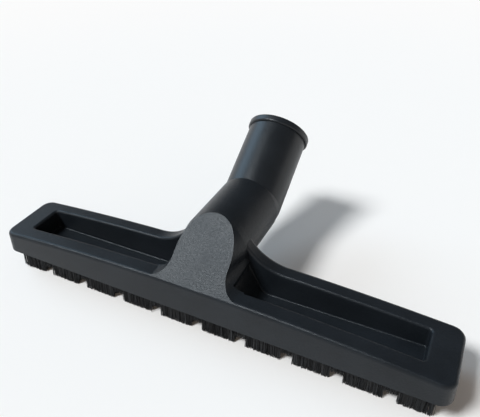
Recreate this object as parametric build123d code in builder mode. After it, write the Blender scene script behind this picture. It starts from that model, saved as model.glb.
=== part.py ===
"""Floor brush head for a vacuum cleaner: a moulded body with two strip brushes, two wheels and a swivel tube."""

import math
import os

from build123d import *

os.makedirs("parts", exist_ok=True)

# Body shell
LENGTH = 300.0  # over the end walls
WIDTH = 45.0  # over the front and rear walls, at the skirt
CORNER_R = 8.0
WALL = 2.4
DRAFT = 2.7  # degrees, all four walls lean inwards
SKIRT_Z = 16.0  # lower edge of the walls above the bristle tips
CROWN_Z = 37.0  # rim height at the middle
CROWN_SAG = 7.0  # how much lower the rim is at the ends
RIM_ROUND = 2.4  # outer edge of the rim

# Trays sunk into the top, one on each side of the neck
FRONT_RIM = 12.1  # front wall to tray
BACK_RIM = 10.5
END_RIM = 18.0
TRAY_NECK = 22.8  # upright inner end beside the neck
TRAY_SHOULDER_Z = 36.0  # where the inner end starts to slope
TRAY_FOOT = 33.0  # inner end at the tray floor
TRAY_WALL = 1.6
TRAY_CORNER_R = 6.0  # where the inner end's slope meets the tray floor
TRAY_END_R = 2.0  # upright corners at the outer end
TRAY_EDGE_ROUND = 1.8  # where the rim turns down into the tray
TRAY_CREASE_R = 1.0  # where the tray's floor meets its walls

# Neck, its root on the body and the flat tongue that cuts across its front
NECK_Z = 45.5
NECK_R = 21.4
NECK_LENGTH = 35.5  # rear wall to the seam with the swivel tube
ROOT_R = 16.6  # front end of the root, which widens backwards to the neck
ROOT_TOE = 30.0  # foot of the root on the front rim
SWEEP_TOE = 46.0  # where the rear rim starts its sweep up to the neck
ROOT_BITE = 0.25  # how deep the root's arcs run into the neck and the rim
TONGUE_SLOPE = 40.0  # degrees
TONGUE_EASE = 20.0  # degrees, slope of the rounded rim where the tongue rises from it
TONGUE_TOE = 1.6  # front end of the root, behind the front wall

# Swivel bearing
SPIGOT_R = 18.9
SPIGOT_LENGTH = 17.0
BEARING_CLEARANCE = 0.08
SEAM_GAP = 0.4
DUCT_R = 17.0
RING_FROM_SEAM = 9.0
RING_WIDTH = 2.0
RING_IN_SPIGOT = 0.9  # depth of the ring's seat in the spigot
RING_IN_COLLAR = 1.1  # depth of the ring's seat in the collar
RING_PLAY = 0.15
RING_SPLIT = 6.0

# Swivel tube
BEND = 33.0  # degrees, tube above the neck
TUBE_R = 20.8
TUBE_LENGTH = 57.0  # from the bend to the mouth
SOCKET_R = 17.5  # takes a 35 mm wand
SOCKET_DEPTH = 38.0
BEAD_HEIGHT = 1.4  # above the tube
BEAD_WIDTH = 5.0
BEAD_ROUND = 1.2
MOUTH_CHAMFER = 0.8

# Strip brushes
STRIP_WIDTH = 6.0
STRIP_HEIGHT = 7.5
STRIP_SHEET = 0.8
STRIP_FOLD_R = 0.5
STRIP_DROP = 3.1  # how far the channel stands below the skirt
FRONT_STRIP_INSET = 7.0  # from each end of the body
REAR_STRIP_INSET = 18.0
WIRE_R = 0.9
WIRE_OVERHANG = 1.5
WIRE_DEPTH = 2.6  # from the top of the bristles to the wire
BRISTLE_PLAY = 0.05
BRISTLE_SPREAD = 1.4  # each side, at the tips
NOTCH_PITCH = 30.0
NOTCH_WIDTH = 7.8
NOTCH_DEPTH = 6.5
NOTCH_FROM_END = 15.0  # least run of bristle past the last notch
BRISTLE_END_ROUND = 3.0

# Ribs that seat the strips, and hooks that keep the rear one in
RIB_THICKNESS = 1.5
RIB_FIRST = 44.0
RIB_PITCH = 28.0
HOOK_LENGTH = 10.0
HOOK_LIP = 0.8
HOOK_FIRST = 58.0
HOOK_FROM_END = 19.0  # last hook, from the end of the tray

# Wheels
WHEEL_FROM_BACK = 15.5
WHEEL_Z = 14.0
WHEEL_R = 12.5
WHEEL_WIDTH = 10.0
WHEEL_SIDE_PLAY = 1.0
TYRE_THICKNESS = 2.2
TYRE_ROUND = 0.9
TYRE_SEAT = 0.05
HUB_R = 3.8
HUB_WEB = 2.4
HUB_RIM = 1.6
AXLE_R = 1.5
AXLE_CHAMFER = 0.4
AXLE_OVERHANG = 1.6  # past the inner lug, under the tray
AXLE_END_PLAY = 0.1
WHEEL_CLEARANCE = 0.06
LUG_WIDTH = 9.0
LUG_HEIGHT = 9.5  # above the axle
LUG_THICKNESS = 2.0
LUG_MOUTH = 2.6  # snap-in slot under the axle
LUG_CLEARANCE = 0.03

# Places worked out from the sizes above
CROWN_R = ((LENGTH / 2) ** 2 + CROWN_SAG**2) / (2 * CROWN_SAG)
TRAY_FRONT = FRONT_RIM - WIDTH / 2
TRAY_BACK = WIDTH / 2 - BACK_RIM
TRAY_END = LENGTH / 2 - END_RIM
TRAY_FLOOR = SKIRT_Z + TRAY_WALL
ROOT_FRONT = TONGUE_TOE - WIDTH / 2
RIM_LOW = CROWN_Z - CROWN_SAG - 2 * RIM_ROUND  # below the whole rim
RIM_CENTRE_Z = CROWN_Z - RIM_ROUND  # centre of the front rim's round
RIM_CENTRE_Y = (
    (RIM_CENTRE_Z - SKIRT_Z) * math.tan(math.radians(DRAFT))
    + RIM_ROUND / math.cos(math.radians(DRAFT))
    - WIDTH / 2
)
SEAM = WIDTH / 2 + NECK_LENGTH
BORE_R = SPIGOT_R + BEARING_CLEARANCE
BEND_POINT = SEAM + TUBE_R * math.tan(math.radians(BEND / 2))
BEAD_R = TUBE_R + BEAD_HEIGHT
BEAD_RUN = (TUBE_LENGTH - BEAD_ROUND) * math.cos(math.radians(BEND))
BEAD_DROP = (BEAD_R - BEAD_ROUND) * math.sin(math.radians(BEND))
BACK_REACH = BEND_POINT + BEAD_RUN + BEAD_DROP + BEAD_ROUND  # rearmost point of the bead
BODY_Y = (WIDTH / 2 - BACK_REACH) / 2  # puts the origin under the middle of the whole head
FORM_HEIGHT = NECK_Z + NECK_R - SKIRT_Z + WALL
FRONT_STRIP_LENGTH = LENGTH - 2 * FRONT_STRIP_INSET
REAR_STRIP_LENGTH = LENGTH - 2 * REAR_STRIP_INSET
STRIP_BOTTOM = SKIRT_Z - STRIP_DROP
STRIP_TOP = STRIP_BOTTOM + STRIP_HEIGHT
FRONT_STRIP_Y = TRAY_FRONT - TRAY_WALL - STRIP_WIDTH / 2
REAR_STRIP_Y = TRAY_BACK + TRAY_WALL + STRIP_WIDTH / 2
NOTCH_COUNT = 1 + 2 * int((FRONT_STRIP_LENGTH / 2 - NOTCH_FROM_END) / NOTCH_PITCH)
RIB_COUNT = 1 + int((TRAY_END - RIB_FIRST) / RIB_PITCH)
HOOK_PLACES = (HOOK_FROM_END - TRAY_END, -HOOK_FIRST, HOOK_FIRST, TRAY_END - HOOK_FROM_END)
WHEEL_Y = WIDTH / 2 - WHEEL_FROM_BACK
LUG_INNER = TRAY_END
WHEEL_X = LUG_INNER + LUG_THICKNESS + WHEEL_SIDE_PLAY + WHEEL_WIDTH / 2
LUG_OUTER = WHEEL_X + WHEEL_WIDTH / 2 + WHEEL_SIDE_PLAY
END_WALL = LENGTH / 2 - WALL

FLOOR = Plane((0, BODY_Y, 0))
TUBE = Plane(
    origin=(0, BODY_Y + BEND_POINT, NECK_Z),
    x_dir=(1, 0, 0),
    z_dir=(0, math.cos(math.radians(BEND)), math.sin(math.radians(BEND))),
)
TONGUE = Plane(
    origin=(
        0,
        BODY_Y + RIM_CENTRE_Y - RIM_ROUND * math.sin(math.radians(TONGUE_EASE)),
        RIM_CENTRE_Z + RIM_ROUND * math.cos(math.radians(TONGUE_EASE)),
    ),
    x_dir=(1, 0, 0),
    z_dir=(0, -math.sin(math.radians(TONGUE_SLOPE)), math.cos(math.radians(TONGUE_SLOPE))),
)


def front_plane(y):
    """Upright plane seen from the front, y behind the middle of the body. Extrusions come forwards."""
    return Plane(origin=(0, BODY_Y + y, 0), x_dir=(1, 0, 0), z_dir=(0, -1, 0))


def side_plane(x):
    """Upright plane seen from the right, with y and z as its axes. Extrusions go to +X."""
    return Plane(origin=(x, BODY_Y, 0), x_dir=(0, 1, 0), z_dir=(1, 0, 0))


def neck_plane(y):
    """Plane across the neck's axis, y behind the middle of the body. Extrusions go backwards."""
    return Plane(origin=(0, BODY_Y + y, NECK_Z), x_dir=(1, 0, 0), z_dir=(0, 1, 0))


def crown(x, inset=0):
    """Height at x of the rim, or of the surface that is inset below it."""
    return CROWN_Z - CROWN_R + math.sqrt((CROWN_R - inset) ** 2 - x**2)


def outline_form(inset):
    """The drafted rounded rectangle that bounds the body, inset by a wall, taller than the neck."""
    with BuildPart() as form:
        with BuildSketch(FLOOR.offset(SKIRT_Z)):
            RectangleRounded(LENGTH - 2 * inset, WIDTH - 2 * inset, CORNER_R - inset)
        extrude(amount=FORM_HEIGHT, taper=DRAFT)
    return form.part


def root_arc(radius, toe, bite, inset):
    """Low end, middle and top of the arc from the rim at toe, less bite, up to a circle about the neck's axis."""
    lean = math.asin(toe / CROWN_R)
    fall = NECK_Z - crown(toe) + bite
    arc_r = (toe**2 + fall**2 - radius**2) / 2
    arc_r /= radius - toe * math.sin(lean) + fall * math.cos(lean)
    centre_x = toe + arc_r * math.sin(lean)
    centre_z = NECK_Z - fall + arc_r * math.cos(lean)
    low = -math.pi / 2 - lean
    top = math.atan2(centre_z - NECK_Z, centre_x) - math.pi
    reach = arc_r + inset
    turns = (low, (low + top) / 2, top)
    return [(centre_x + reach * math.cos(turn), centre_z + reach * math.sin(turn)) for turn in turns]


def mirrored(point, side):
    """The point itself on the right side, and its mirror image on the left."""
    return (side * point[0], point[1])


def crown_face(inset):
    """Everything under the crowned rim, inset by a wall, in the upright plane through the middle."""
    reach = LENGTH / 2 + CORNER_R
    edge = (reach, crown(reach, inset))
    with BuildSketch(front_plane(0)) as face:
        with BuildLine():
            ThreePointArc(mirrored(edge, -1), (0, CROWN_Z - inset), edge)
            Polyline(edge, (reach, 0), (-reach, 0), mirrored(edge, -1))
        make_face()
    return face.sketch


def rear_face(inset):
    """Everything under the rear rim, which sweeps up to the neck, inset by a wall, in the rear wall's plane."""
    reach = LENGTH / 2 + CORNER_R
    edge = (reach, crown(reach, inset))
    middle = (SWEEP_TOE + reach) / 2
    low, bend, top = root_arc(NECK_R - ROOT_BITE, SWEEP_TOE, 0, inset)
    with BuildSketch(front_plane(WIDTH / 2)) as face:
        with BuildLine():
            for side in (-1, 1):
                rim = (middle, crown(middle, inset))
                ThreePointArc(mirrored(edge, side), mirrored(rim, side), mirrored(low, side))
                ThreePointArc(mirrored(low, side), mirrored(bend, side), mirrored(top, side))
            Line(mirrored(top, -1), top)
            Polyline(edge, (reach, 0), (-reach, 0), mirrored(edge, -1))
        make_face()
    return face.sketch


def root_face(y, radius, inset):
    """Section of the neck's root at y: a round top with an arc on each side that runs out on the front rim."""
    low, bend, top = root_arc(radius, ROOT_TOE, ROOT_BITE, inset)
    with BuildSketch(front_plane(y)) as face:
        with BuildLine():
            for side in (-1, 1):
                ThreePointArc(mirrored(top, side), mirrored(bend, side), mirrored(low, side))
                Line(mirrored(low, side), (side * low[0], SKIRT_Z))
            ThreePointArc(mirrored(top, -1), (0, NECK_Z + radius - inset), top)
            Line((-low[0], SKIRT_Z), (low[0], SKIRT_Z))
        make_face()
    return face.sketch


def root_form(inset):
    """The neck's root in front of the rear rim, inset by a wall where the space inside it is wanted."""
    front = ROOT_FRONT + inset
    front_r = ROOT_R + (NECK_R - ROOT_R) * inset / (TRAY_BACK - ROOT_FRONT)
    with BuildPart() as form:
        narrow = root_face(front, front_r, inset)
        wide = root_face(TRAY_BACK, NECK_R, inset)
        loft([narrow.face(), wide.face()], ruled=True)
    return form.part


def tray_form(grow):
    """The hollow of both trays, grown by a wall's thickness where the wall itself is wanted."""
    top = NECK_Z + NECK_R
    with BuildPart() as form:
        with BuildSketch(front_plane(TRAY_BACK + grow)) as face:
            with BuildLine():
                Polyline(
                    (TRAY_NECK, top),
                    (TRAY_NECK, TRAY_SHOULDER_Z),
                    (TRAY_FOOT, TRAY_FLOOR),
                    (TRAY_END, TRAY_FLOOR),
                    (TRAY_END, top),
                    close=True,
                )
            make_face()
            fillet(face.vertices().group_by(Axis.X)[1], TRAY_CORNER_R)
            if grow:
                offset(amount=grow, kind=Kind.INTERSECTION)
        extrude(amount=TRAY_BACK - TRAY_FRONT + 2 * grow)
        fillet(form.edges().filter_by(Axis.Z).group_by(Axis.X)[-1], TRAY_END_R + grow)
        if not grow:
            fillet(form.faces().sort_by(Axis.Z)[0].edges().sort_by(Axis.X)[-1], TRAY_CREASE_R)
        mirror(about=Plane.YZ)
    return form.part


def is_rim(edge):
    """Is the edge part of the rim's outer or inner outline, and not a join between its top faces?"""
    at_end = abs(edge.center().X) > LENGTH / 2 - END_RIM - RIM_ROUND
    return edge.center().Z > RIM_LOW and (at_end or edge.geom_type != GeomType.LINE)


# Body block with its crowned rim, the rear rim's sweep and the two trays
with BuildPart() as block:
    extrude(crown_face(0), amount=WIDTH, both=True)
    extrude(rear_face(0), amount=BACK_RIM)
    add(outline_form(0), mode=Mode.INTERSECT)
    sweep_front = block.faces().filter_by(Axis.Y).edges()
    fillet([edge for edge in block.edges().filter_by(is_rim) if edge not in sweep_front], RIM_ROUND)
    add(tray_form(0), mode=Mode.SUBTRACT)
    tray_walls = block.faces().filter_by(Axis.Y).edges() + block.faces().filter_by(Axis.X).edges()
    lip = tray_walls.filter_by(is_rim)
    fillet(lip.filter_by(lambda edge: abs(edge.center().X) > TRAY_NECK + RIM_ROUND), TRAY_EDGE_ROUND)

# Neck on its root, cut across by the flat tongue
with BuildPart() as saddle:
    add(root_form(0))
    with BuildSketch(neck_plane(TRAY_BACK)):
        Circle(NECK_R)
    extrude(amount=SEAM - TRAY_BACK)
    split(bisect_by=TONGUE, keep=Keep.BOTTOM)
    add(tray_form(0), mode=Mode.SUBTRACT)


def rib_face(x, wall_y, strip_y, tray_y):
    """Rib between an outer wall and a tray, notched round the strip that it seats."""
    flank = strip_y + math.copysign(STRIP_WIDTH / 2, strip_y)
    with BuildSketch(side_plane(x)) as face:
        with BuildLine():
            Polyline(
                (wall_y, SKIRT_Z),
                (flank, SKIRT_Z),
                (flank, STRIP_TOP),
                (tray_y, STRIP_TOP),
                (tray_y, CROWN_Z),
                (wall_y, CROWN_Z),
                close=True,
            )
        make_face()
    return face.sketch


# Space inside the moulding, with the ribs left standing in it
with BuildPart() as hollow:
    add(root_form(WALL))
    extrude(rear_face(WALL), amount=BACK_RIM)
    extrude(crown_face(WALL), amount=WIDTH, both=True)
    add(outline_form(WALL), mode=Mode.INTERSECT)
    with BuildSketch(neck_plane(TRAY_BACK)):
        Circle(BORE_R)
    extrude(amount=SEAM - TRAY_BACK)
    split(bisect_by=TONGUE.offset(-WALL), keep=Keep.BOTTOM)
    add(tray_form(TRAY_WALL), mode=Mode.SUBTRACT)
    for index in range(RIB_COUNT):
        for side in (-1, 1):
            rib_x = side * (RIB_FIRST + index * RIB_PITCH) - RIB_THICKNESS / 2
            front_rib = rib_face(rib_x, -WIDTH / 2, FRONT_STRIP_Y, TRAY_FRONT)
            rear_rib = rib_face(rib_x, WIDTH / 2, REAR_STRIP_Y, TRAY_BACK)
            extrude(front_rib, amount=RIB_THICKNESS, dir=(1, 0, 0), mode=Mode.SUBTRACT)
            extrude(rear_rib, amount=RIB_THICKNESS, dir=(1, 0, 0), mode=Mode.SUBTRACT)
    with BuildSketch(neck_plane(SEAM - RING_FROM_SEAM - RING_WIDTH / 2 - RING_PLAY)):
        Circle(BORE_R + RING_IN_COLLAR)
    extrude(amount=RING_WIDTH + 2 * RING_PLAY)


def lug_face(x):
    """Hanging tab with a round end about the wheel's axle."""
    with BuildSketch(side_plane(x)) as face:
        with Locations((WHEEL_Y, WHEEL_Z)):
            Circle(LUG_WIDTH / 2)
            Rectangle(LUG_WIDTH, LUG_HEIGHT, align=(Align.CENTER, Align.MIN))
    return face.sketch


def axle_slot(x):
    """Hole for the axle with the narrower snap-in mouth below it."""
    with BuildSketch(side_plane(x)) as face:
        with Locations((WHEEL_Y, WHEEL_Z)):
            Circle(AXLE_R + LUG_CLEARANCE)
            Rectangle(LUG_MOUTH, LUG_WIDTH, align=(Align.CENTER, Align.MAX))
    return face.sketch


# Housing: body, trays, neck, ribs, hooks and wheel lugs in one moulding
with BuildPart() as housing:
    add(block.part)
    add(saddle.part)
    add(hollow.part, mode=Mode.SUBTRACT)
    for place in HOOK_PLACES:
        with BuildSketch(side_plane(place - HOOK_LENGTH / 2)):
            with BuildLine():
                flank = REAR_STRIP_Y + STRIP_WIDTH / 2
                Polyline(
                    (flank, SKIRT_Z + WALL),
                    (flank, STRIP_BOTTOM),
                    (flank - STRIP_SHEET / 2, STRIP_BOTTOM),
                    (flank - STRIP_SHEET / 2, STRIP_BOTTOM - HOOK_LIP),
                    (WIDTH / 2 - WALL / 2, STRIP_BOTTOM - HOOK_LIP),
                    (WIDTH / 2 - WALL / 2, SKIRT_Z + WALL),
                    close=True,
                )
            make_face()
        extrude(amount=HOOK_LENGTH)
    for side in (-1, 1):
        outwards = (side, 0, 0)
        extrude(lug_face(side * LUG_INNER), amount=LUG_THICKNESS, dir=outwards)
        extrude(lug_face(side * LUG_OUTER), amount=LENGTH / 2 - WALL / 2 - LUG_OUTER, dir=outwards)
        slot_length = END_WALL - LUG_INNER
        extrude(axle_slot(side * LUG_INNER), amount=slot_length, dir=outwards, mode=Mode.SUBTRACT)
housing.part.label = "housing"
export_step(housing.part, "parts/housing.step")

# Swivel tube: a bent moulding with a spigot in the collar and a socket for the wand
with BuildPart() as swivel_tube:
    with BuildSketch(neck_plane(SEAM)):
        Circle(TUBE_R)
    extrude(amount=BEND_POINT - SEAM)
    with Locations(TUBE):
        Sphere(TUBE_R)
    with BuildSketch(TUBE):
        Circle(TUBE_R)
    extrude(amount=TUBE_LENGTH)
    split(bisect_by=neck_plane(SEAM + SEAM_GAP), keep=Keep.TOP)
    with BuildSketch(TUBE.offset(TUBE_LENGTH - BEAD_WIDTH)):
        Circle(BEAD_R)
    extrude(amount=BEAD_WIDTH)
    bead = swivel_tube.edges().filter_by(GeomType.CIRCLE).filter_by(lambda edge: edge.radius > TUBE_R)
    fillet(bead, BEAD_ROUND)
    with BuildSketch(neck_plane(SEAM - SPIGOT_LENGTH)):
        Circle(SPIGOT_R)
    extrude(amount=SPIGOT_LENGTH + SEAM_GAP)
    with BuildSketch(neck_plane(SEAM - SPIGOT_LENGTH)):
        Circle(DUCT_R)
    extrude(amount=BEND_POINT - SEAM + SPIGOT_LENGTH, mode=Mode.SUBTRACT)
    with Locations(TUBE):
        Sphere(DUCT_R, mode=Mode.SUBTRACT)
    with BuildSketch(TUBE):
        Circle(DUCT_R)
    extrude(amount=TUBE_LENGTH, mode=Mode.SUBTRACT)
    with BuildSketch(TUBE.offset(TUBE_LENGTH - SOCKET_DEPTH)):
        Circle(SOCKET_R)
    extrude(amount=SOCKET_DEPTH, mode=Mode.SUBTRACT)
    rings = swivel_tube.edges().filter_by(GeomType.CIRCLE)
    socket_edges = rings.filter_by(lambda edge: math.isclose(edge.radius, SOCKET_R, abs_tol=1e-6))
    chamfer(socket_edges.sort_by(Axis.Z)[-1], MOUTH_CHAMFER)
    with BuildSketch(neck_plane(SEAM - RING_FROM_SEAM - RING_WIDTH / 2 - RING_PLAY)):
        Circle(SPIGOT_R)
        Circle(SPIGOT_R - RING_IN_SPIGOT, mode=Mode.SUBTRACT)
    extrude(amount=RING_WIDTH + 2 * RING_PLAY, mode=Mode.SUBTRACT)
swivel_tube.part.label = "swivel_tube"
export_step(swivel_tube.part, "parts/swivel_tube.step")

# Split ring that sits in the spigot's groove and keeps the tube in the collar
with BuildPart() as swivel_ring:
    with BuildSketch(neck_plane(SEAM - RING_FROM_SEAM - RING_WIDTH / 2)):
        Circle(BORE_R + RING_IN_COLLAR - RING_PLAY)
        Circle(SPIGOT_R - RING_IN_SPIGOT + BEARING_CLEARANCE, mode=Mode.SUBTRACT)
        Rectangle(RING_SPLIT, 2 * BORE_R, align=(Align.CENTER, Align.MAX), mode=Mode.SUBTRACT)
    extrude(amount=RING_WIDTH)
swivel_ring.part.label = "swivel_retaining_ring"
export_step(swivel_ring.part, "parts/swivel_retaining_ring.step")

STRIPS = {"front": (FRONT_STRIP_Y, FRONT_STRIP_LENGTH), "rear": (REAR_STRIP_Y, REAR_STRIP_LENGTH)}
BRISTLE_TOP = STRIP_TOP - STRIP_SHEET - BRISTLE_PLAY
WIRE_Z = BRISTLE_TOP - WIRE_DEPTH
PACK_HALF = STRIP_WIDTH / 2 - STRIP_SHEET - BRISTLE_PLAY

for name, (strip_y, strip_length) in STRIPS.items():
    # Folded steel channel that grips the bristles
    with BuildPart() as channel:
        with BuildSketch(side_plane(-strip_length / 2)):
            with Locations((strip_y, STRIP_BOTTOM)):
                Rectangle(STRIP_WIDTH, STRIP_HEIGHT, align=(Align.CENTER, Align.MIN))
                Rectangle(
                    STRIP_WIDTH - 2 * STRIP_SHEET,
                    STRIP_HEIGHT - STRIP_SHEET,
                    align=(Align.CENTER, Align.MIN),
                    mode=Mode.SUBTRACT,
                )
        extrude(amount=strip_length)
        fillet(channel.faces().sort_by(Axis.Z)[-1].edges().filter_by(Axis.X), STRIP_FOLD_R)
    channel.part.label = f"{name}_strip_channel"
    export_step(channel.part, f"parts/{name}_strip_channel.step")

    # Core wire that the bristles are folded over
    with BuildPart() as wire:
        with BuildSketch(side_plane(-strip_length / 2 - WIRE_OVERHANG)):
            with Locations((strip_y, WIRE_Z)):
                Circle(WIRE_R)
        extrude(amount=strip_length + 2 * WIRE_OVERHANG)
    wire.part.label = f"{name}_core_wire"
    export_step(wire.part, f"parts/{name}_core_wire.step")

    # Bristle pack, a little wider at the tips, cut into blocks at the front
    with BuildPart() as bristles:
        with BuildSketch(side_plane(-strip_length / 2)):
            with BuildLine():
                Polyline(
                    (strip_y - PACK_HALF, BRISTLE_TOP),
                    (strip_y - PACK_HALF, STRIP_BOTTOM),
                    (strip_y - PACK_HALF - BRISTLE_SPREAD, 0),
                    (strip_y + PACK_HALF + BRISTLE_SPREAD, 0),
                    (strip_y + PACK_HALF, STRIP_BOTTOM),
                    (strip_y + PACK_HALF, BRISTLE_TOP),
                    close=True,
                )
            make_face()
            with Locations((strip_y, WIRE_Z)):
                Circle(WIRE_R + BRISTLE_PLAY, mode=Mode.SUBTRACT)
        extrude(amount=strip_length)
        end_edges = bristles.faces().sort_by(Axis.Z)[0].edges().filter_by(Axis.Y)
        fillet(end_edges, BRISTLE_END_ROUND)
        if name == "front":
            with BuildSketch(FLOOR):
                with Locations((0, strip_y)):
                    with GridLocations(NOTCH_PITCH, 0, NOTCH_COUNT, 1):
                        Rectangle(NOTCH_WIDTH, 2 * STRIP_WIDTH)
            extrude(amount=NOTCH_DEPTH, mode=Mode.SUBTRACT)
    bristles.part.label = f"{name}_bristles"
    export_step(bristles.part, f"parts/{name}_bristles.step")

RIM_OUT = WHEEL_R - TYRE_THICKNESS
RIM_IN = RIM_OUT - HUB_RIM

for name, side in (("left", -1), ("right", 1)):
    wheel_plane = Plane((side * WHEEL_X, BODY_Y + WHEEL_Y, WHEEL_Z), x_dir=(1, 0, 0), z_dir=(0, -1, 0))
    wheel_axis = Axis(wheel_plane.origin, (1, 0, 0))

    # Steel axle pin snapped into the two lugs
    with BuildPart() as axle:
        axle_start = LUG_INNER - AXLE_OVERHANG
        axle_length = END_WALL - AXLE_END_PLAY - axle_start
        with BuildSketch(side_plane(side * axle_start)):
            with Locations((WHEEL_Y, WHEEL_Z)):
                Circle(AXLE_R)
        extrude(amount=axle_length, dir=(side, 0, 0))
        chamfer(axle.edges().filter_by(GeomType.CIRCLE), AXLE_CHAMFER)
    axle.part.label = f"{name}_axle"
    export_step(axle.part, f"parts/{name}_axle.step")

    # Wheel hub with a thin web between its boss and its rim
    with BuildPart() as hub:
        with BuildSketch(wheel_plane):
            Rectangle(WHEEL_WIDTH, HUB_R, align=(Align.CENTER, Align.MIN))
            Rectangle(HUB_WEB, RIM_OUT, align=(Align.CENTER, Align.MIN))
            with Locations((0, RIM_IN)):
                Rectangle(WHEEL_WIDTH, HUB_RIM, align=(Align.CENTER, Align.MIN))
            Rectangle(
                WHEEL_WIDTH,
                AXLE_R + WHEEL_CLEARANCE,
                align=(Align.CENTER, Align.MIN),
                mode=Mode.SUBTRACT,
            )
        revolve(axis=wheel_axis)
    hub.part.label = f"{name}_wheel_hub"
    export_step(hub.part, f"parts/{name}_wheel_hub.step")

    # Soft tyre stretched over the hub's rim
    with BuildPart() as tyre:
        with BuildSketch(wheel_plane) as section:
            with Locations((0, RIM_OUT + TYRE_SEAT)):
                Rectangle(WHEEL_WIDTH, TYRE_THICKNESS - TYRE_SEAT, align=(Align.CENTER, Align.MIN))
            fillet(section.vertices().group_by(Axis.Z)[-1], TYRE_ROUND)
        revolve(axis=wheel_axis)
    tyre.part.label = f"{name}_tyre"
    export_step(tyre.part, f"parts/{name}_tyre.step")
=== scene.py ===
"""Looks of a vacuum floor brush head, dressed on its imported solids. Lengths are in metres."""

import math

import bpy
import numpy as np
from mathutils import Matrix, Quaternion, Vector


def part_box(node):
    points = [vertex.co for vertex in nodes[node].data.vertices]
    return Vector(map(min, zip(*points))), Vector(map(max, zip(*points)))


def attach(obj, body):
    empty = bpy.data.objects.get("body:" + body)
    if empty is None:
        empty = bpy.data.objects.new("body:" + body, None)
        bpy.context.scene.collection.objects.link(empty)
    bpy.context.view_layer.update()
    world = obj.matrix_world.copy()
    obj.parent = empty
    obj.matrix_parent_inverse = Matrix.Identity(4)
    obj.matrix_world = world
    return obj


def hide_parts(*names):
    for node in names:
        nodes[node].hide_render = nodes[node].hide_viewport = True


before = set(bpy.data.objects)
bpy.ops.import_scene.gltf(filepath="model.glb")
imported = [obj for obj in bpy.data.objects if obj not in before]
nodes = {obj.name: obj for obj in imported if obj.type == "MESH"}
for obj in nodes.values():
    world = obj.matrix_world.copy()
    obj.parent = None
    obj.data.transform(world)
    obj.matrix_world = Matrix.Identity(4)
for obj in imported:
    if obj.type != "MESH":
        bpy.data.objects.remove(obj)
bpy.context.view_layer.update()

# Housing: one injection moulding of black ABS, with walls, trays, neck and collar in a single piece.
# Its outside is finely eroded in the mould, so it is satin, and only the rounded rims catch a sharper light.


def start_finish(name, base, roughness, **sockets):
    """A new material with one Principled shader, whose constants are set on the shader's own sockets."""
    finish = bpy.data.materials.new(name)
    finish.use_nodes = True
    finish.diffuse_color = (*base, 1.0)
    shader = finish.node_tree.nodes["Principled BSDF"]
    shader.inputs["Base Color"].default_value = (*base, 1.0)
    shader.inputs["Roughness"].default_value = roughness
    for socket, value in sockets.items():
        shader.inputs[socket.replace("_", " ")].default_value = value
    return finish, shader


def add_node(finish, kind, links=(), **values):
    """A node of that kind: values go to its properties or sockets, links are (output, input name) pairs."""
    node = finish.node_tree.nodes.new(kind)
    for name, value in values.items():
        if hasattr(node, name):
            setattr(node, name, value)
        else:
            node.inputs[name.replace("_", " ")].default_value = value
    for source, target in links:
        finish.node_tree.links.new(source, node.inputs[target])
    return node


def object_noise(finish, size, detail, rough, stretch=(1.0, 1.0, 1.0)):
    """Noise on object coordinates with features of that size in metres, longer along an axis below 1."""
    place = add_node(finish, "ShaderNodeTexCoord")
    turn = add_node(finish, "ShaderNodeMapping", [(place.outputs["Object"], "Vector")], Scale=stretch)
    noise = add_node(
        finish,
        "ShaderNodeTexNoise",
        [(turn.outputs["Vector"], "Vector")],
        Scale=1.0 / size,
        Detail=detail,
        Roughness=rough,
    )
    return noise.outputs["Fac"]


def ramp(finish, source, stops):
    """A colour ramp over a value: stops are (position, (red, green, blue)) in order."""
    node = add_node(finish, "ShaderNodeValToRGB", [(source, "Fac")])
    node.color_ramp.elements[0].position = stops[0][0]
    node.color_ramp.elements[0].color = (*stops[0][1], 1.0)
    node.color_ramp.elements[1].position = stops[-1][0]
    node.color_ramp.elements[1].color = (*stops[-1][1], 1.0)
    for position, colour in stops[1:-1]:
        node.color_ramp.elements.new(position).color = (*colour, 1.0)
    return node.outputs["Color"]


def span(finish, source, low, high, to_low, to_high, curve="LINEAR"):
    """A value mapped from one range to another, in a straight line or a smooth step, and kept inside it."""
    node = add_node(
        finish,
        "ShaderNodeMapRange",
        [(source, "Value")],
        interpolation_type=curve,
        From_Min=low,
        From_Max=high,
        To_Min=to_low,
        To_Max=to_high,
    )
    return node.outputs["Result"]


def maths(finish, operation, *values):
    """The result of a Math node over sockets and plain numbers, taken in order."""
    node = add_node(finish, "ShaderNodeMath", operation=operation)
    for socket, value in zip(node.inputs, values):
        if isinstance(value, bpy.types.NodeSocket):
            finish.node_tree.links.new(value, socket)
        else:
            socket.default_value = value
    return node.outputs[0]


MELT_CLOUD = 0.035
GLOSS_SPECK = 0.0016
FINE_GRAIN, COARSE_GRAIN = 0.00042, 0.0013


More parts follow.
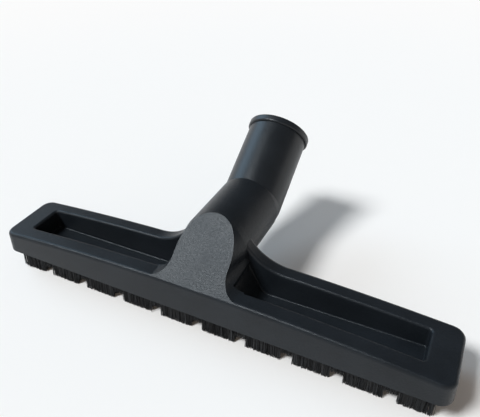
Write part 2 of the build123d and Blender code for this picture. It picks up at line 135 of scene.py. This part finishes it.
def moulded_finish(name, dark, pale, grain, satin, shine, marks=None):
    """Eroded plastic: two sizes of grain as bump, and clouds of colour and gloss from the melt's flow.

    The bump's height in metres is grain * (fine noise + coarse noise), plus the mould's marks if it has any.
    """
    finish, shader = start_finish(name, dark, satin, IOR=1.52, Specular_IOR_Level=shine)
    tree = finish.node_tree
    cloud = object_noise(finish, MELT_CLOUD, 4.0, 0.6)
    tint = ramp(finish, cloud, [(0.32, dark), (0.72, pale)])
    tree.links.new(tint, shader.inputs["Base Color"])
    speck = object_noise(finish, GLOSS_SPECK, 2.0, 0.6)
    gloss = span(finish, maths(finish, "ADD", cloud, speck), 0.7, 1.3, satin - 0.05, satin + 0.06)
    tree.links.new(gloss, shader.inputs["Roughness"])
    fine = object_noise(finish, FINE_GRAIN, 2.0, 0.65)
    coarse = object_noise(finish, COARSE_GRAIN, 2.0, 0.5)
    height = maths(finish, "MULTIPLY", maths(finish, "ADD", fine, coarse), grain)
    if marks:
        height = maths(finish, "ADD", height, marks(finish))
    bump = add_node(finish, "ShaderNodeBump", [(height, "Height")], Strength=1.0, Distance=1.0)
    tree.links.new(bump.outputs["Normal"], shader.inputs["Normal"])
    return finish


def dress(piece, finish):
    """Gives every face of a piece that one finish."""
    piece.data.materials.clear()
    piece.data.materials.append(finish)


NECK_AXIS_Z = 0.0455
REAR_WALL_Y = -0.0280
UNDERSIDE_Z, UNDERSIDE_FADE = 0.0163, 0.0003
PIN_R, PIN_FIRST_X, PIN_PITCH = 0.00275, 0.043, 0.041
PIN_MIDDLE_Y, PIN_HALF_Y = -0.0498, 0.00775
RIDGE_HALF, RIDGE_HEIGHT = 0.0002, 0.00009


def housing_marks(finish):
    """Height of the mould's marks: a ridge on both sides of the neck, and pin rings below the trays.

    The ridge is where z passes the neck's axis behind the rear wall. A ring is where the distance to the
    nearest ejector pin of a grid, folded about the middle both ways, is the pin's radius.
    """
    place = add_node(finish, "ShaderNodeTexCoord")
    x, y, z = add_node(finish, "ShaderNodeSeparateXYZ", [(place.outputs["Object"], "Vector")]).outputs
    off_seam = maths(finish, "ABSOLUTE", maths(finish, "SUBTRACT", z, NECK_AXIS_Z))
    behind = span(finish, y, REAR_WALL_Y, REAR_WALL_Y + RIDGE_HALF, 0.0, RIDGE_HEIGHT)
    ridge = maths(finish, "MULTIPLY", span(finish, off_seam, 0.0, RIDGE_HALF, 1.0, 0.0), behind)
    from_first = maths(finish, "SUBTRACT", maths(finish, "ABSOLUTE", x), PIN_FIRST_X)
    column = maths(finish, "WRAP", from_first, PIN_PITCH / 2, -PIN_PITCH / 2)
    from_middle = maths(finish, "ABSOLUTE", maths(finish, "SUBTRACT", y, PIN_MIDDLE_Y))
    row = maths(finish, "SUBTRACT", from_middle, PIN_HALF_Y)
    column_squared = maths(finish, "MULTIPLY", column, column)
    reach = maths(finish, "SQRT", maths(finish, "MULTIPLY_ADD", row, row, column_squared))
    off_ring = maths(finish, "ABSOLUTE", maths(finish, "SUBTRACT", reach, PIN_R))
    below = span(finish, z, UNDERSIDE_Z, UNDERSIDE_Z + UNDERSIDE_FADE, RIDGE_HEIGHT, 0.0)
    ring = maths(finish, "MULTIPLY", span(finish, off_ring, 0.0, RIDGE_HALF, 1.0, 0.0), below)
    return maths(finish, "ADD", ridge, ring)


HOUSING_DARK, HOUSING_PALE = (0.0086, 0.0104, 0.0127), (0.0138, 0.0166, 0.0203)
body_plastic = moulded_finish(
    "eroded_black_abs", HOUSING_DARK, HOUSING_PALE, grain=0.00010, satin=0.33, shine=0.20, marks=housing_marks
)
dress(nodes["housing"], body_plastic)

# Swivel tube: the bent tube that turns in the collar, moulded of the same black ABS in a smoother cavity.
# A split ring of natural acetal sits in its groove and keeps it in. The ring shows only down the bore.
TUBE_BEND = math.radians(33.0)
TUBE_BEND_Y, TUBE_BEND_FADE = 0.013613, 0.002
TUBE_DARK, TUBE_PALE = (0.0084, 0.0101, 0.0123), (0.0132, 0.0156, 0.0191)
RING_DARK, RING_PALE = (0.52, 0.51, 0.47), (0.58, 0.57, 0.53)


def tube_marks(finish):
    """Height of the mould's ridge on both sides of the tube: where a point passes the plane through its axis.

    Distance to that plane: (z - axis height) * cos(bend) - (y - bend's place) * sin(bend).
    """
    place = add_node(finish, "ShaderNodeTexCoord")
    _, y, z = add_node(finish, "ShaderNodeSeparateXYZ", [(place.outputs["Object"], "Vector")]).outputs
    along = maths(finish, "MULTIPLY", maths(finish, "SUBTRACT", y, TUBE_BEND_Y), -math.sin(TUBE_BEND))
    above = maths(finish, "SUBTRACT", z, NECK_AXIS_Z)
    off_plane = maths(finish, "ABSOLUTE", maths(finish, "MULTIPLY_ADD", above, math.cos(TUBE_BEND), along))
    straight = span(finish, y, TUBE_BEND_Y, TUBE_BEND_Y + TUBE_BEND_FADE, 0.0, RIDGE_HEIGHT)
    return maths(finish, "MULTIPLY", span(finish, off_plane, 0.0, RIDGE_HALF, 1.0, 0.0), straight)


tube_plastic = moulded_finish(
    "smooth_black_abs", TUBE_DARK, TUBE_PALE, grain=0.00004, satin=0.34, shine=0.36, marks=tube_marks
)
dress(nodes["swivel_tube"], tube_plastic)
ring_plastic = moulded_finish("natural_acetal", RING_DARK, RING_PALE, grain=0.00001, satin=0.34, shine=0.45)
dress(nodes["swivel_retaining_ring"], ring_plastic)

# Strip channels and core wires: zinc-plated steel, the strip rolled to a U and pressed onto the bristles.
# Rolling leaves fine lines along it, and the press leaves a row of small dents.
STRIP_DENT_PITCH, DENT_DEPTH = 0.0065, 4.0
PLATING_CLOUD = 0.006
ROLLING_LINE, ROLLING_STRETCH = 0.0004, (0.02, 1.0, 1.0)
ROLLING_BUMP = 0.00004


def rolled_zinc(name, pale, dents):
    """Plated steel with lines along X from rolling, cloudy plating, and dents along X where wanted.

    The bump's height, in units of ROLLING_BUMP, is the lines' noise, less the dents' depth where a sine
    along X is near its top.
    """
    finish, shader = start_finish(name, pale, 0.3, Metallic=1.0)
    tree = finish.node_tree
    cloud = object_noise(finish, PLATING_CLOUD, 3.0, 0.6)
    worn = tuple(0.8 * c for c in pale)
    tree.links.new(ramp(finish, cloud, [(0.3, worn), (0.7, pale)]), shader.inputs["Base Color"])
    lines = object_noise(finish, ROLLING_LINE, 2.0, 0.6, ROLLING_STRETCH)
    tree.links.new(span(finish, lines, 0.3, 0.7, 0.2, 0.4), shader.inputs["Roughness"])
    height = lines
    if dents:
        place = add_node(finish, "ShaderNodeTexCoord")
        wave = add_node(
            finish,
            "ShaderNodeTexWave",
            [(place.outputs["Object"], "Vector")],
            bands_direction="X",
            wave_profile="SIN",
            Scale=math.pi / (10 * STRIP_DENT_PITCH),
        )
        pressed = span(finish, wave.outputs["Fac"], 0.75, 0.95, 0.0, DENT_DEPTH)
        height = maths(finish, "SUBTRACT", lines, pressed)
    bump = add_node(finish, "ShaderNodeBump", [(height, "Height")], Strength=0.35, Distance=ROLLING_BUMP)
    tree.links.new(bump.outputs["Normal"], shader.inputs["Normal"])
    return finish


channel_zinc = rolled_zinc("rolled_zinc_steel", (0.66, 0.67, 0.68), dents=True)
wire_zinc = rolled_zinc("drawn_zinc_wire", (0.62, 0.62, 0.63), dents=False)
for strip in ("front", "rear"):
    dress(nodes[f"{strip}_strip_channel"], channel_zinc)
    dress(nodes[f"{strip}_core_wire"], wire_zinc)

# Bristles: thousands of black filaments folded over the core wire and gripped by the channel.
# The front strip is trimmed into ten blocks, and the rear one is left whole and a little untidier.
FILAMENTS = 8500
FILAMENT_R = 0.00014
FILAMENT_SHARES = np.array([0.0, 0.45, 0.8, 1.0])
TUFT_PITCHES = np.array([0.0017, 0.0029, 0.0053])
END_ROUND = 0.003
NOTCH_PITCH, NOTCH_HALF, NOTCH_TOP, NOTCHES_A_SIDE = 0.030, 0.0039, 0.0065, 4
CORE_MARGIN = 0.0011
CORE_ROOT_HALF, CORE_TIP_INSET = 0.0017, 0.0014
CORE_END_INSET, CORE_NOTCH_LAP = 0.0005, 0.0002
MOUTH_DEPTH, ROOT_HALF = 0.0012, 0.0019
FIRST_ROOT, LEAST_ROOT, LEAST_TIP = 0.0006, 0.0004, 0.0002
SIDE_MARGIN, FLOOR_MARGIN, FLOOR_LEAST = 0.0004, 0.00002, 0.00001
TUFT_SWAY, TUFT_SHADE = 0.0004, 0.35
STRAY, STRAY_ALONG = 0.0002, 0.0003
ROOT_CROWDING, TONE_SPREAD = (2.4, 1.0), (2.0, 3.0)
THIN, THICK, FACE_PHASE = 0.8, 1.15, 0.37
FILAMENT_SHADES = [(0.0, (0.008, 0.0083, 0.009)), (0.6, (0.018, 0.019, 0.021)), (1.0, (0.042, 0.043, 0.046))]


def bristle_finish():
    """Dark filament whose own tone runs from black to grey-black, with a soft shine along it."""
    middle = FILAMENT_SHADES[1][1]
    finish, shader = start_finish("black_filament", middle, 0.38, IOR=1.5, Specular_IOR_Level=0.2)
    tone = add_node(finish, "ShaderNodeAttribute", attribute_name="tone").outputs["Fac"]
    finish.node_tree.links.new(ramp(finish, tone, FILAMENT_SHADES), shader.inputs["Base Color"])
    finish.node_tree.links.new(span(finish, tone, 0.0, 1.0, 0.32, 0.5), shader.inputs["Roughness"])
    return finish


def trimmed_tips(along, low, high, notched):
    """Height of the trim at each place: zero, rounded up at both ends, and the notches' top inside a notch.

    A rounded end at distance d from it is R - sqrt(R * R - (R - d) * (R - d)).
    """
    short = np.clip(END_ROUND - np.minimum(along - low, high - along), 0, END_ROUND)
    trim = END_ROUND - np.sqrt(END_ROUND**2 - short**2)
    offset = along - np.clip(np.round(along / NOTCH_PITCH), -NOTCHES_A_SIDE, NOTCHES_A_SIDE) * NOTCH_PITCH
    return np.where(notched & (np.abs(offset) < NOTCH_HALF), NOTCH_TOP, trim)


def packed_middle(low, high, mouth, middle, half, notched):
    """The dense inside of a strip: a row of tapered blocks, each from the channel's mouth nearly to its trim.

    Block corner: x at the block's ends, y = middle -+ half width, which grows to the tips, and z = mouth or
    trim + margin.
    """
    if notched:
        notches = np.arange(-NOTCHES_A_SIDE, NOTCHES_A_SIDE + 1)[:, None] * NOTCH_PITCH
        cuts = notches + NOTCH_HALF * np.array([-1, 1])
        ends = np.concatenate([[low + END_ROUND], cuts.ravel(), [high - END_ROUND]])
    else:
        ends = np.array([low + END_ROUND, high - END_ROUND])
    starts, stops = ends[:-1], ends[1:]
    tip = trimmed_tips((starts + stops) / 2, low, high, notched) + CORE_MARGIN
    inset = np.where(tip > NOTCH_TOP, -CORE_NOTCH_LAP, CORE_END_INSET)
    x = np.stack([starts + inset, stops - inset], -1)[:, [0, 1, 1, 0, 0, 1, 1, 0]]
    widths = np.repeat([CORE_ROOT_HALF, half - CORE_TIP_INSET], 4)
    y = middle + np.array([-1, -1, 1, 1, -1, -1, 1, 1]) * widths
    z = np.where(np.arange(8) < 4, mouth, tip[:, None])
    corners = np.stack([x, np.broadcast_to(y, x.shape), z], -1)
    sides = np.array([[0, 1, 2, 3], [7, 6, 5, 4], [0, 4, 5, 1], [1, 5, 6, 2], [2, 6, 7, 3], [3, 7, 4, 0]])
    return corners.reshape(-1, 3), (np.arange(len(starts))[:, None, None] * 8 + sides).reshape(-1, 4)


def filaments(name, node, seed, untidy, notched):
    """Each filament is a three-sided tube along a bent line from the channel to its trimmed tip.

    Line at share t: root + t * (tip - root) + t * t * bow. Ring corner k: line + radius * (cos, sin) of a
    third of a turn times k. Roots fill the channel's mouth, denser towards its lips. Tips spread outwards and
    gather into tufts, which sway along the strip as the mean of sines of three pitches.
    """
    rng = np.random.default_rng(seed)
    low, high = (np.array(corner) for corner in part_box(node))
    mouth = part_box(node.replace("bristles", "strip_channel"))[0].z + MOUTH_DEPTH
    middle, half = (low[1] + high[1]) / 2, (high[1] - low[1]) / 2
    across = rng.choice([-1.0, 1.0], FILAMENTS) * rng.beta(*ROOT_CROWDING, FILAMENTS)
    along = np.linspace(low[0] + FIRST_ROOT, high[0] - FIRST_ROOT, FILAMENTS)
    along = np.clip(along + rng.normal(0, STRAY, FILAMENTS), low[0] + LEAST_ROOT, high[0] - LEAST_ROOT)
    face = np.where(across > 0, FACE_PHASE, 0.0)
    phase = along[:, None] / TUFT_PITCHES + rng.uniform(0, 1, 3) + face[:, None]
    sway = np.sin(2 * math.pi * phase).mean(1)
    root = np.stack([along, middle + across * ROOT_HALF, np.full(FILAMENTS, mouth)], -1)
    ragged = np.abs(rng.normal(0, STRAY * untidy, FILAMENTS))
    tip_x = along + TUFT_SWAY * sway + rng.normal(0, STRAY_ALONG * untidy, FILAMENTS)
    tip_x = np.clip(tip_x, low[0] + LEAST_TIP, high[0] - LEAST_TIP)
    tip_y = middle + across * (half - SIDE_MARGIN) + rng.normal(0, STRAY * untidy, FILAMENTS)
    tip_z = trimmed_tips(along, low[0], high[0], notched) + ragged + FLOOR_MARGIN
    tip = np.stack([tip_x, tip_y, tip_z], -1)
    bow = np.zeros((FILAMENTS, 3))
    bow[:, :2] = rng.normal(0, STRAY * untidy, (FILAMENTS, 2))
    share = FILAMENT_SHARES[None, :, None]
    line = root[:, None] + share * (tip - root)[:, None] + share**2 * bow[:, None]
    turn = 2 * math.pi * (np.arange(3)[None, :] / 3 + rng.uniform(0, 1, FILAMENTS)[:, None])
    radius = FILAMENT_R * rng.uniform(THIN, THICK, FILAMENTS)
    ring = np.zeros((FILAMENTS, 1, 3, 3))
    ring[:, 0, :, 0] = radius[:, None] * np.cos(turn)
    ring[:, 0, :, 1] = radius[:, None] * np.sin(turn)
    points = (line[:, :, None, :] + ring).reshape(-1, 3)
    points[:, 2] = np.maximum(points[:, 2], FLOOR_LEAST)
    rings = len(FILAMENT_SHARES)
    start = np.arange(FILAMENTS)[:, None, None] * 3 * rings
    level, corner = np.arange(rings - 1)[None, :, None] * 3, np.arange(3)[None, None, :]
    after = (corner + 1) % 3
    base = start + level
    sides = np.stack([base + corner, base + 3 + corner, base + 3 + after, base + after], -1).reshape(-1, 4)
    caps = (np.arange(FILAMENTS)[:, None] + 1) * 3 * rings - np.array([[1, 2, 3]])
    core, core_sides = packed_middle(low[0], high[0], mouth, middle, half, notched)
    faces = np.concatenate([sides, core_sides + len(points)]).tolist() + caps.tolist()
    mesh = bpy.data.meshes.new(name)
    mesh.from_pydata(np.concatenate([points, core]), [], faces)
    shade = np.clip(rng.beta(*TONE_SPREAD, FILAMENTS) + TUFT_SHADE * sway, 0, 1)
    tones = np.concatenate([np.repeat(shade, 3 * rings), np.zeros(len(core))])
    mesh.attributes.new("tone", "FLOAT", "POINT").data.foreach_set("value", tones.astype(np.float32))
    piece = bpy.data.objects.new(name, mesh)
    bpy.context.scene.collection.objects.link(piece)
    return piece


filament_black = bristle_finish()
for strip, seed, untidy in (("front", 11, 0.8), ("rear", 12, 1.5)):
    tuft = filaments(f"{strip}_filaments", f"{strip}_bristles", seed, untidy, strip == "front")
    dress(tuft, filament_black)
    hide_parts(f"{strip}_bristles")
    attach(tuft, "body")

# Wheels: a small polypropylene hub with a rubber tyre in each end pocket, on a drawn steel pin.
# The pin is snapped into two lugs of the housing, and the wheel turns freely on it.
HUB_DARK, HUB_PALE = (0.015, 0.015, 0.016), (0.022, 0.022, 0.024)
TYRE_DARK, TYRE_PALE = (0.012, 0.012, 0.0125), (0.020, 0.020, 0.021)
hub_plastic = moulded_finish("black_polypropylene", HUB_DARK, HUB_PALE, grain=0.00002, satin=0.30, shine=0.42)
tyre_rubber = moulded_finish("black_tyre_rubber", TYRE_DARK, TYRE_PALE, grain=0.00004, satin=0.52, shine=0.30)
pin_steel = rolled_zinc("drawn_pin_steel", (0.60, 0.60, 0.61), dents=False)
for side in ("left", "right"):
    dress(nodes[f"{side}_wheel_hub"], hub_plastic)
    dress(nodes[f"{side}_tyre"], tyre_rubber)
    dress(nodes[f"{side}_axle"], pin_steel)

# Studio: a pale floor that runs into a white horizon all round, under a dim ceiling.
# The main window light comes from the front left, a lower and bluer one from the left, and a weak warm fill
# from the front right. All three are far, wide lights, so the floor is lit evenly.
FLOOR_HALF = 1.6
FADE_START, FADE_END = 0.32, 0.95
WHITE, CEILING = 0.97, 0.14
HORIZON_START, HORIZON_END = 0.12, 0.34
corners = FLOOR_HALF * np.array([(-1, -1, 0), (1, -1, 0), (1, 1, 0), (-1, 1, 0)])
floor_mesh = bpy.data.meshes.new("studio_floor")
floor_mesh.from_pydata(corners, [], [(0, 1, 2, 3)])
floor = bpy.data.objects.new("studio_floor", floor_mesh)
bpy.context.scene.collection.objects.link(floor)
floor_finish, floor_shader = start_finish("pale_floor", (0.965, 0.895, 0.845), 0.8, Specular_IOR_Level=0.0)
ground = add_node(floor_finish, "ShaderNodeTexCoord").outputs["Object"]
reach = add_node(floor_finish, "ShaderNodeVectorMath", [(ground, 0)], operation="LENGTH").outputs["Value"]
far = span(floor_finish, reach, FADE_START, FADE_END, 0.0, 1.0, "SMOOTHSTEP")
rays = add_node(floor_finish, "ShaderNodeLightPath").outputs
sharp = maths(floor_finish, "MAXIMUM", rays["Is Glossy Ray"], rays["Is Transmission Ray"])
direct = maths(floor_finish, "MAXIMUM", rays["Is Camera Ray"], sharp)
share = maths(floor_finish, "MULTIPLY", far, direct)
white = add_node(floor_finish, "ShaderNodeEmission", Color=(1.0, 1.0, 1.0, 1.0), Strength=WHITE)
layers = [(share, 0), (floor_shader.outputs["BSDF"], 1), (white.outputs["Emission"], 2)]
fade = add_node(floor_finish, "ShaderNodeMixShader", layers)
floor_end = floor_finish.node_tree.nodes["Material Output"]
floor_finish.node_tree.links.new(fade.outputs["Shader"], floor_end.inputs["Surface"])
dress(floor, floor_finish)

world = bpy.data.worlds.new("studio")
world.use_nodes = True
bpy.context.scene.world = world
outwards = add_node(world, "ShaderNodeTexCoord").outputs["Object"]
climb = add_node(world, "ShaderNodeSeparateXYZ", [(outwards, "Vector")]).outputs["Z"]
level = span(world, climb, HORIZON_START, HORIZON_END, WHITE, CEILING, "SMOOTHSTEP")
sky = world.node_tree.nodes["Background"]
sky.inputs["Color"].default_value = (1.0, 1.0, 1.0, 1.0)
world.node_tree.links.new(level, sky.inputs["Strength"])


def soft_light(name, side, width, power, tint):
    """A far, wide light: side points towards it, and width is the angle that it fills, in degrees."""
    lamp = bpy.data.lights.new(name, "SUN")
    lamp.angle = math.radians(width)
    lamp.energy = power
    lamp.color = tint
    holder = bpy.data.objects.new(name, lamp)
    holder.location = Vector(side).normalized()
    holder.rotation_euler = (-Vector(side)).to_track_quat("-Z", "Y").to_euler()
    bpy.context.scene.collection.objects.link(holder)


soft_light("window_light", (-0.41, -0.48, 0.78), 16.0, 3.05, (0.865, 0.945, 1.0))
soft_light("side_window", (-0.83, 0.12, 0.54), 38.0, 1.05, (0.54, 0.78, 1.0))
soft_light("warm_fill", (0.66, -0.62, 0.42), 40.0, 0.22, (1.0, 0.84, 0.66))

# Camera: at the photograph's angle and distance, aimed past the middle of the neck.
# It is turned a little about its own line of sight, as the photo is.
AIM, DISTANCE = Vector((0.023098, -0.050548, 0.087211)), 0.279179
AZIMUTH, ELEVATION, ROLL = math.radians(26.653), math.radians(35.313), math.radians(-1.131)
camera = bpy.data.cameras.new("photo_camera")
camera.sensor_width = 36.0
camera.lens = 38.914
camera.clip_start = 0.01
eye = bpy.data.objects.new("photo_camera", camera)
bpy.context.scene.collection.objects.link(eye)
level_back = Vector((math.sin(AZIMUTH), -math.cos(AZIMUTH), 0))
back = math.cos(ELEVATION) * level_back + Vector((0, 0, math.sin(ELEVATION)))
eye.location = AIM + DISTANCE * back
eye.rotation_mode = "QUATERNION"
eye.rotation_quaternion = (-back).to_track_quat("-Z", "Y") @ Quaternion((0, 0, 1), ROLL)
bpy.context.scene.camera = eye
bpy.context.scene.view_settings.view_transform = "Standard"
